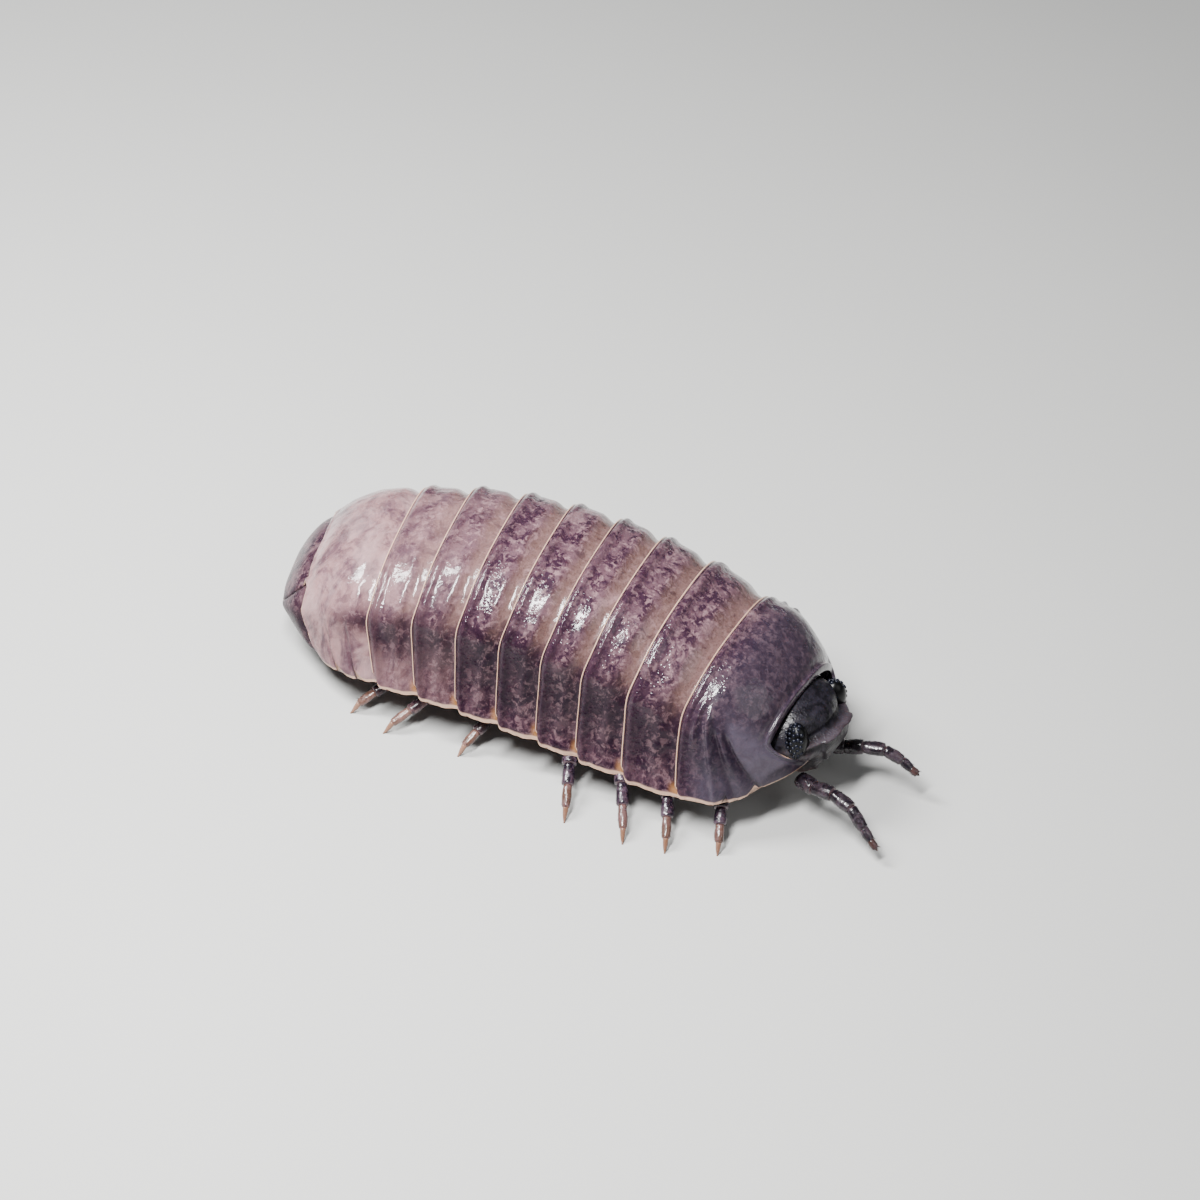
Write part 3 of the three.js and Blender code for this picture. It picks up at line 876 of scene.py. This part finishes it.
def head_piece(material):
    a, u, f = ball_grid(220, 260)
    points = on_head(a, u, f, head_relief(a, u, f))
    lumps = layered_noise(points, HEAD_LUMPS)
    points = points + (points - in_head(0.0, HEAD["level"], 0.0)) * lumps[..., None]
    brow = bell(u, brow_height(a), 0.06) * smooth(f, 0.1, 0.45)
    lobe = bell(np.abs(a), 0.66, 0.1) * bell(u, -0.08, 0.15) * smooth(f, 0.1, 0.4)
    return one_body("head_shell", material, points, up=u, ridge=np.clip(brow + lobe, 0, 1))


def head_material():
    """Satin slate, browner on the face and paler on its ridges and at the mouth."""
    m = Shader("head_shell")
    up = m.attribute("up")
    medium = m.noise(3.2, 5.0, 0.65, warp=0.6)
    colour = m.painted(
        m.mix(m.step(medium, 0.4, 0.6), HEAD_DARK, HEAD_LIGHT),
        (m.step(up, 0.2, -0.2), 0.6, FACE),
        (m.attribute("ridge"), 0.5, BROW_GREY),
        (m.step(up, -0.6, -0.9), 0.7, TAN),
    )
    lumpy = m.bump(m.noise(7.0, 3.0), 0.4, 0.03)
    skin = m.bump(m.step(m.cells(12.0), 0.55, 0.1), 0.4, 0.016, Normal=lumpy)
    return m.finish(
        Base_Color=colour,
        Roughness=m.step(medium, 0.3, 0.7, 0.36, 0.5),
        Specular_IOR_Level=0.25,
        Coat_Weight=0.12,
        Coat_Roughness=0.2,
        Coat_Normal=skin,
        Subsurface_Weight=0.08,
        Subsurface_Scale=0.15 * MM,
        Normal=skin,
    )


# Eyes
EYE = {"across": 1.16, "up": 1.34, "ahead": 0.66, "radii": (0.36, 0.62, 0.42), "lean": 0.6}
EYE_MOUND = 0.95
LENSES = {"count": 120, "radius": 0.06, "seat": 0.915, "inward": -0.1}


def eye_piece(side, hand, material):
    """A dark mound set with small round lenses in a spiral."""
    lean = -hand * EYE["lean"]

    def world(direction, share):
        x, y, z = (direction[..., k] * EYE["radii"][k] * share for k in range(3))
        across = x * math.cos(lean) - z * math.sin(lean)
        ahead = x * math.sin(lean) + z * math.cos(lean)
        return in_head(hand * EYE["across"] + across, EYE["up"] + y, EYE["ahead"] + ahead)

    build = Build()
    build.rings(world(np.stack(ball_grid(40, 56), -1), EYE_MOUND), lens=0.0)
    lens = np.stack(ball_grid(8, 12), -1) * LENSES["radius"]
    golden = math.pi * (3 - math.sqrt(5))
    for i in range(LENSES["count"]):
        height = 1 - 2 * (i + 0.5) / LENSES["count"]
        ring = math.sqrt(1 - height * height)
        direction = np.array([ring * math.cos(golden * i), ring * math.sin(golden * i), height])
        if direction[0] * hand > LENSES["inward"]:
            build.rings(world(direction, LENSES["seat"]) + lens, lens=1.0)
    return build.make("eye_%s_lenses" % side, material)


def eye_material():
    m = Shader("eye_lenses")
    tint = m.mix(m.noise(4.0, 2.0), LENS_DARK, LENS_LIGHT)
    colour = m.painted(EYE_BLACK, (m.attribute("lens"), 0.8, tint))
    return m.finish(Base_Color=colour, Roughness=0.32, Specular_IOR_Level=0.22)


# Limbs
BRISTLE = {"thick": 0.011, "taper": (1, 0.7, 0.15), "length": (0.07, 0.13), "out": 0.6, "on": 0.8}
SEGMENT_SHARES = np.array([0, 0.015, 0.05, *np.linspace(0.1, 0.88, 12), 0.93, 0.965, 0.985, 1.0])
JOINT_WAIST = {"near": 0.6, "far": 0.62}
LIMB_FLATNESS = 0.88
SEGMENT_OVERLAP = 0.03


def bristle(build, root, direction, length):
    along = np.array([0, 0.5, 1.0])[:, None] * direction * length
    radii = np.array(BRISTLE["taper"]) * BRISTLE["thick"]
    build.rings(tube_rings(root + along, radii, 5), along=0.5, part=0.4)


def jointed_limb(build, joints, radii, sides, flare, bristles, seed):
    """Segments between the given joints, each narrow at its root and wider at its far end."""
    rng = np.random.default_rng(seed)
    joints = np.asarray(joints, float)
    t = SEGMENT_SHARES
    near, far = JOINT_WAIST["near"], JOINT_WAIST["far"]
    closing = np.minimum(1, near + (1 - near) * np.sqrt(np.minimum(t / 0.1, 1)))
    closing = closing * np.minimum(1, far + (1 - far) * np.sqrt(np.clip((1 - t) / 0.05, 0, 1)))
    for i in range(len(joints) - 1):
        way = joints[i + 1] - joints[i]
        core = joints[i] + way * (t * (1 + 2 * SEGMENT_OVERLAP) - SEGMENT_OVERLAP)[:, None]
        width = radii[i] + (radii[i + 1] - radii[i]) * t
        swell = 1 + flare * (smooth(t, 0.1, 0.9) - 0.4) + ridge(t, 0.1, 0.5, 0.25)
        rings = tube_rings(core, width * swell * closing, sides, LIMB_FLATNESS)
        middle = core[:, None]
        rings = middle + (rings - middle) * (1 + 0.07 * noise(rings, 7.0, i))[..., None]
        build.rings(rings, along=np.repeat(t, sides), part=i / (len(joints) - 2))
        direction = way / np.linalg.norm(way)
        for _ in range(bristles):
            at = rng.uniform(0.15, 0.97)
            out = np.cross(direction, rng.normal(size=3))
            out /= np.linalg.norm(out)
            root = joints[i] + way * at + out * radii[i] * 0.72
            slant = out * BRISTLE["out"] + direction * BRISTLE["on"]
            bristle(build, root, slant, rng.uniform(*BRISTLE["length"]))


# Antennae, by how far across, up and ahead the points of each lie in the head's own frame
ANTENNAE = {
    "right": (
        (-0.9, -1.05, -1.1, -1.2, -1.32, -1.55, -1.6),
        (-0.2, -0.15, -0.02, 0.0, -0.2, -0.7, -0.85),
        (0.85, 1.5, 2.1, 2.5, 2.85, 3.6, 3.8),
    ),
    "left": (
        (0.9, 1.15, 1.35, 1.45, 1.5, 1.52, 1.52),
        (-0.2, -0.15, 0.02, 0.0, -0.12, -0.36, -0.44),
        (0.85, 1.5, 2.1, 2.55, 2.9, 3.35, 3.55),
    ),
}
ANTENNA_JOINTS = (0.0, 0.17, 0.36, 0.58, 0.78, 0.9, 0.985)
ANTENNA_WIDTHS = (0.25, 0.235, 0.215, 0.195, 0.16, 0.125, 0.1)
ANTENNA_TIP = {"shares": (0.0, 0.15, 0.3), "radii": (0.06, 0.04, 0.01)}


def antenna_piece(side, material):
    path = curve_through(in_head(*ANTENNAE[side]), 16)
    run = np.concatenate([[0], np.cumsum(np.linalg.norm(np.diff(path, axis=0), axis=1))])
    run /= run[-1]
    joints = [np.array([np.interp(j, run, path[:, i]) for i in range(3)]) for j in ANTENNA_JOINTS]
    build = Build()
    jointed_limb(build, joints, ANTENNA_WIDTHS, sides=20, flare=0.12, bristles=14, seed=5)
    tip = joints[-1] + (joints[-1] - joints[-2]) * np.array(ANTENNA_TIP["shares"])[:, None]
    build.rings(tube_rings(tip, ANTENNA_TIP["radii"], 8), along=0.5, part=1.0)
    return build.make("antenna_" + side + "_skin", material)


# Legs: joints are shares of the way from hip to foot, with their heights above the floor
HIPS = (-0.9, 0.9, 2.6, 4.05, 5.4, 6.8, 8.1)
FEET = ((-2.2, 4.05), (-0.8, 4.85), (0.5, 5.2), (2.5, 5.3), (6.65, 4.25), (9.15, 4.25), (10.4, 3.8))
HIP_ACROSS = 1.75
LEG_JOINTS = ((0.4, CLEARANCE - 0.3), (0.6, CLEARANCE - 0.5), (0.76, CLEARANCE - 0.74), (0.92, 0.32))
LEG_WIDTHS = (0.3, 0.25, 0.215, 0.18, 0.15, 0.1)
CLAW_JOINTS = ((0.955, 0.17), (0.98, 0.07))
CLAW_WIDTHS = (0.085, 0.07, 0.045, 0.02)
CLAW_TIP = 0.02
SOLE = {"heights": (0.0, 0.02, 0.05), "radii": (0.03, 0.028, 0.01)}
FIRST_LEG_SEED = 20


def leg_piece(pair, side, hand, material):
    hip = place(HIPS[pair], hand * HIP_ACROSS, BELLY_LEVEL - 0.02)
    foot = place(FEET[pair][0], hand * FEET[pair][1], 0.0)
    foot[2] = 0.0

    def on_leg(share, height):
        p = hip + (foot - hip) * share
        return np.array([p[0], p[1], height])

    beyond = [on_leg(*joint) for joint in LEG_JOINTS]
    thigh = (hip + beyond[0]) / 2 + np.array([0, 0, 0.05])
    build = Build()
    joints = [hip, thigh, *beyond]
    jointed_limb(build, joints, LEG_WIDTHS, sides=16, flare=0.3, bristles=10, seed=FIRST_LEG_SEED + pair)
    claw_points = [beyond[-1], *(on_leg(*joint) for joint in CLAW_JOINTS), foot + (0, 0, CLAW_TIP)]
    claw = curve_through(claw_points, 6)
    widths = np.interp(np.linspace(0, 3, len(claw)), range(4), CLAW_WIDTHS)
    build.rings(tube_rings(claw, widths, 12), along=0.5, part=1.2)
    sole = foot + np.array([0, 0, 1.0]) * np.array(SOLE["heights"])[:, None]
    build.rings(tube_rings(sole, SOLE["radii"], 10, twist_axis=(1, 0, 0)), along=0.5, part=1.2)
    return build.make("leg_%d_%s_skin" % (pair + 1, side), material)


def limb_material(name, light, dark, tip):
    """Translucent skin of the limbs, paler at each joint and towards the tip."""
    m = Shader(name)
    along = m.attribute("along")
    joint = m.larger(m.step(along, 0.06, 0.0), m.step(along, 0.955, 0.99))
    colour = m.painted(
        m.mix(m.step(m.noise(3.4, 5.0, 0.65, warp=0.6), 0.42, 0.62), dark, light),
        (joint, 0.25, PINK),
        (m.step(m.attribute("part"), 0.85, 1.2), 0.7, tip),
    )
    skin = m.bump(m.cells(13.0), 0.3, 0.015)
    return m.finish(
        Base_Color=colour,
        Roughness=m.step(m.noise(5.0), 0.3, 0.7, 0.2, 0.34),
        Specular_IOR_Level=0.3,
        Coat_Weight=0.3,
        Coat_Roughness=0.12,
        Coat_Normal=skin,
        Subsurface_Weight=0.2,
        Subsurface_Scale=0.15 * MM,
        Subsurface_Radius=(1.0, 0.6, 0.4),
        Normal=skin,
    )


# Underside
BELLY = {"inset": -0.62, "front": -1.35, "rear": SPAN + 2.3, "rounded": 0.5, "narrowed": 0.97}
BELLY_ROWS = 300
BELLY_COLUMNS = {"arch": 40, "low": 90}
SEGMENT_ENDS = np.array([-1.2, 0.05, 1.75, 3.35, 4.75, 6.1, 7.5, 8.85, 10.0])
BAR = {"depth": 0.12, "slope": 0.22, "lip": (0.04, 0.16, 0.05)}
KEEL = (0.1, 0.0, 0.3)
SIDE_KEEL = (0.05, 0.72, 0.1)
CREASE = {"share": 0.52, "bend": 0.08, "width": 0.07, "depth": 0.03, "shade": 0.45}


def belly_section(s):
    """One ring of the underside, with how raised its bar is at each point."""
    high = float(along_body(HEIGHT, s)) + BELLY["inset"]
    ends = min(s - BELLY["front"], BELLY["rear"] - s) / BELLY["rounded"]
    closing = 0.3 * (1 - math.sqrt(1 - (1 - min(1.0, ends)) ** 2))
    nearest = np.abs(SEGMENT_ENDS - s).min()
    bar = float(smooth(nearest, 0.0, BAR["slope"]))
    level = BELLY_LEVEL + 0.2 - BAR["depth"] * bar + closing
    turn = math.acos(min(1.0, level / high) ** (ROUNDNESS / 2))
    turns = np.linspace(-turn, turn, BELLY_COLUMNS["arch"])
    arch = shell_point(s + 0 * turns, turns, BELLY["inset"])
    half = float(along_body(HALF_WIDTH, s)) + BELLY["inset"]
    half = half * math.sin(turn) ** (2 / ROUNDNESS) * BELLY["narrowed"]
    across = np.linspace(half, -half, BELLY_COLUMNS["low"])
    share = np.abs(across) / half
    creased = bell(share, CREASE["share"] + CREASE["bend"] * bar, CREASE["width"])
    low = level - ridge(share, *KEEL) - ridge(share, *SIDE_KEEL) * bar + CREASE["depth"] * creased
    low = low + 0.03 * noise(place(s, across, level), 3.5) - ridge(nearest, *BAR["lip"])
    ring = np.concatenate([arch, place(s, across, low)])
    return ring, np.concatenate([np.ones(len(turns)), bar * (1 - CREASE["shade"] * creased)])


def belly_piece(material):
    """Soft underside, arched under the shell, with a raised bar for each pair of legs."""
    sections = [belly_section(s) for s in np.linspace(BELLY["front"], BELLY["rear"], BELLY_ROWS)]
    rings, bars = zip(*sections)
    return one_body("belly_skin", material, rings, bar=bars)


FLAPS = {"pairs": 5, "first": 0.02, "apart": 0.4, "gap": 0.05}
FLAP = {"thick": 0.04, "hang": 0.3, "vault": 0.07, "slant": 0.12}
FLAP_LENGTH = (0.78, -0.04)  # of the first pair, and how it changes from pair to pair
FLAP_HALF = (0.62, -0.05)


def pleopods_piece(material):
    """Five pairs of broad overlapping flaps under the tail."""
    build = Build()
    angle = np.linspace(0, 2 * math.pi, 48, endpoint=False)
    u = np.linspace(0, 1, 30)[:, None]
    for pair in range(FLAPS["pairs"]):
        start = SPAN + FLAPS["first"] + FLAPS["apart"] * pair
        length, half = (first + change * pair for first, change in (FLAP_LENGTH, FLAP_HALF))
        width = half * (1 - u**6) ** 0.5 * (0.8 + 0.2 * u) + 0.02
        for hand in (-1, 1):
            middle = hand * (FLAPS["gap"] + half)
            across = middle + width * np.cos(angle)
            vault = FLAP["vault"] * (across - middle) ** 2 / half**2
            up = BELLY_LEVEL - 0.14 - FLAP["hang"] * u + FLAP["thick"] * np.sin(angle) + vault
            slant = FLAP["slant"] * (np.abs(across) - half)
            build.rings(place(start + length * u - slant, across, up), bar=u + 0 * angle)
    return build.make("pleopod_flaps", material)


def soft_material(name, light, dark, groove):
    """Pale soft skin, darker in the grooves between its bars."""
    m = Shader(name)
    mottled = m.mix(m.step(m.noise(3.6, 5.0, 0.6, warp=0.5), 0.3, 0.7), dark, light)
    colour = m.painted(mottled, (m.step(m.attribute("bar"), 0.75, 0.0), 0.8, groove))
    return m.finish(
        Base_Color=colour,
        Roughness=m.step(m.noise(4.0), 0.3, 0.7, 0.3, 0.45),
        Subsurface_Weight=0.2,
        Subsurface_Scale=0.3 * MM,
        Normal=m.bump(m.noise(9.0, 3.0), 0.3, 0.03),
    )


# Pieces
HANDS = (("right", -1), ("left", 1))
FIRST_TAIL_PLATE = 7
FRONT_LEG_PAIRS = 4
LIMB_COLOURS = {  # light, dark and tip
    "antenna_skin": (srgb(54, 45, 51), srgb(24, 19, 25), srgb(80, 50, 37)),
    "front_limb_skin": (srgb(66, 52, 62), srgb(24, 17, 27), srgb(128, 92, 72)),
    "rear_limb_skin": (srgb(92, 70, 72), srgb(40, 28, 34), srgb(142, 106, 86)),
}
SOFT_COLOURS = {  # light, dark and groove
    "belly_skin": (srgb(142, 124, 122), srgb(104, 88, 92), srgb(52, 40, 46)),
    "pleopod_skin": (srgb(184, 172, 166), srgb(140, 126, 126), srgb(96, 80, 84)),
}


def finish_piece(piece, slot, *nodes):
    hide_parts(*nodes)
    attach(piece, "root")


def add_back():
    shell = wet_shell("wet_shell", wetness=0.8, grain=0.5)
    tail_shell = wet_shell("tail_shell", wetness=0.85, grain=0.2)
    tail_end_shell = wet_shell("tail_end_shell", wetness=0.15, grain=0.3)
    finish_piece(collar_piece(shell), "back_shell", "plate_1")
    for number in range(2, len(MARGINS) + 1):
        skin = shell if number < FIRST_TAIL_PLATE else tail_shell
        finish_piece(plate_piece(number, skin), "back_shell", "plate_%d" % number)
    finish_piece(tail_dome_piece(tail_shell), "tail_shell", "pleonite_1", "pleonite_2", "pleonite_3")
    finish_piece(telson_piece(tail_end_shell), "tail_shell", "telson")
    for side, hand in HANDS:
        finish_piece(uropod_piece(side, hand, tail_end_shell), "uropod", "uropod_" + side)


def add_head_and_limbs():
    eye_skin = eye_material()
    skins = {name: limb_material(name, *colours) for name, colours in LIMB_COLOURS.items()}
    for side, hand in HANDS:
        finish_piece(eye_piece(side, hand, eye_skin), "eye", "eye_" + side)
        finish_piece(antenna_piece(side, skins["antenna_skin"]), "antenna", "antenna_" + side)
        for pair in range(len(HIPS)):
            skin = skins["front_limb_skin" if pair < FRONT_LEG_PAIRS else "rear_limb_skin"]
            finish_piece(leg_piece(pair, side, hand, skin), "leg", "leg_%d_%s" % (pair + 1, side))
    finish_piece(head_piece(head_material()), "head_shell", "head")


def add_underside():
    skins = {name: soft_material(name, *colours) for name, colours in SOFT_COLOURS.items()}
    finish_piece(belly_piece(skins["belly_skin"]), "belly", "underside")
    finish_piece(pleopods_piece(skins["pleopod_skin"]), "pleopod", "pleopods")


# Floor, light and camera
VIEW = {"azimuth": -75.634, "elevation": 40.127, "roll": 8.754, "distance": 111.18, "half_angle": 9.0}
AIM = np.array([1.5038 + ORIGIN_SHIFT[0], -1.4791 + ORIGIN_SHIFT[1], 0.9812 + CLEARANCE])
SENSOR = 36.0
FLOOR_HALF = 400.0
FLOOR_SHADES = ((0.42, 0.42, 0.41), (0.45, 0.45, 0.44))
LIGHT_CENTRE = (0, 0, 3)
LIGHTS = {  # direction, distance, sizes and power
    "key_light": ((-0.46, 0.12, 0.87), 60, (8, 30), 0.11),
    "back_light": ((-0.12, 0.6, 0.8), 60, (10, 30), 0.08),
    "fill_light": ((-0.2, -0.9, 0.7), 90, (60, 60), 0.015),
}
SKY = {"colour": (0.9, 0.92, 0.95, 1), "strength": 0.18}


def add_floor():
    m = Shader("pale_floor")
    m.finish(Base_Color=m.mix(m.noise(0.05, 2.0), *FLOOR_SHADES), Roughness=0.75)
    corners = ((-1, -1, 0), (1, -1, 0), (1, 1, 0), (-1, 1, 0))
    mesh_object("floor", np.array(corners) * FLOOR_HALF, [[0, 1, 2, 3]], [], m.material)


def add_camera():
    azimuth, elevation, roll = (math.radians(VIEW[k]) for k in ("azimuth", "elevation", "roll"))
    outward = math.cos(elevation)
    back = np.array([math.sin(azimuth) * outward, -math.cos(azimuth) * outward, math.sin(elevation)])
    level = np.array([math.cos(azimuth), math.sin(azimuth), 0])
    steep = np.cross(back, level)
    right = math.cos(roll) * level + math.sin(roll) * steep
    up = -math.sin(roll) * level + math.cos(roll) * steep
    eye_point = (AIM + back * VIEW["distance"]) * MM
    data = bpy.data.cameras.new("camera")
    data.sensor_width = SENSOR
    data.lens = SENSOR / 2 / math.tan(math.radians(VIEW["half_angle"]))
    data.clip_start = 0.001
    data.clip_end = 10.0
    viewer = bpy.data.objects.new("camera", data)
    rows = [[right[i], up[i], back[i], eye_point[i]] for i in range(3)]
    viewer.matrix_world = Matrix([*rows, [0, 0, 0, 1]])
    bpy.context.scene.collection.objects.link(viewer)
    bpy.context.scene.camera = viewer


def add_light(name, towards, distance, sizes, power):
    data = bpy.data.lights.new(name, "AREA")
    data.shape = "ELLIPSE"
    data.size, data.size_y = (size * MM for size in sizes)
    data.energy = power
    lamp = bpy.data.objects.new(name, data)
    direction = Vector(towards).normalized()
    lamp.location = Vector(LIGHT_CENTRE) * MM + direction * distance * MM
    lamp.rotation_euler = direction.to_track_quat("Z", "Y").to_euler()
    bpy.context.scene.collection.objects.link(lamp)


def add_sky():
    world = bpy.data.worlds.new("studio")
    world.use_nodes = True
    background = world.node_tree.nodes["Background"]
    background.inputs["Color"].default_value = SKY["colour"]
    background.inputs["Strength"].default_value = SKY["strength"]
    bpy.context.scene.world = world


add_back()
add_head_and_limbs()
add_underside()
add_floor()
add_camera()
for light_name, light in LIGHTS.items():
    add_light(light_name, *light)
add_sky()
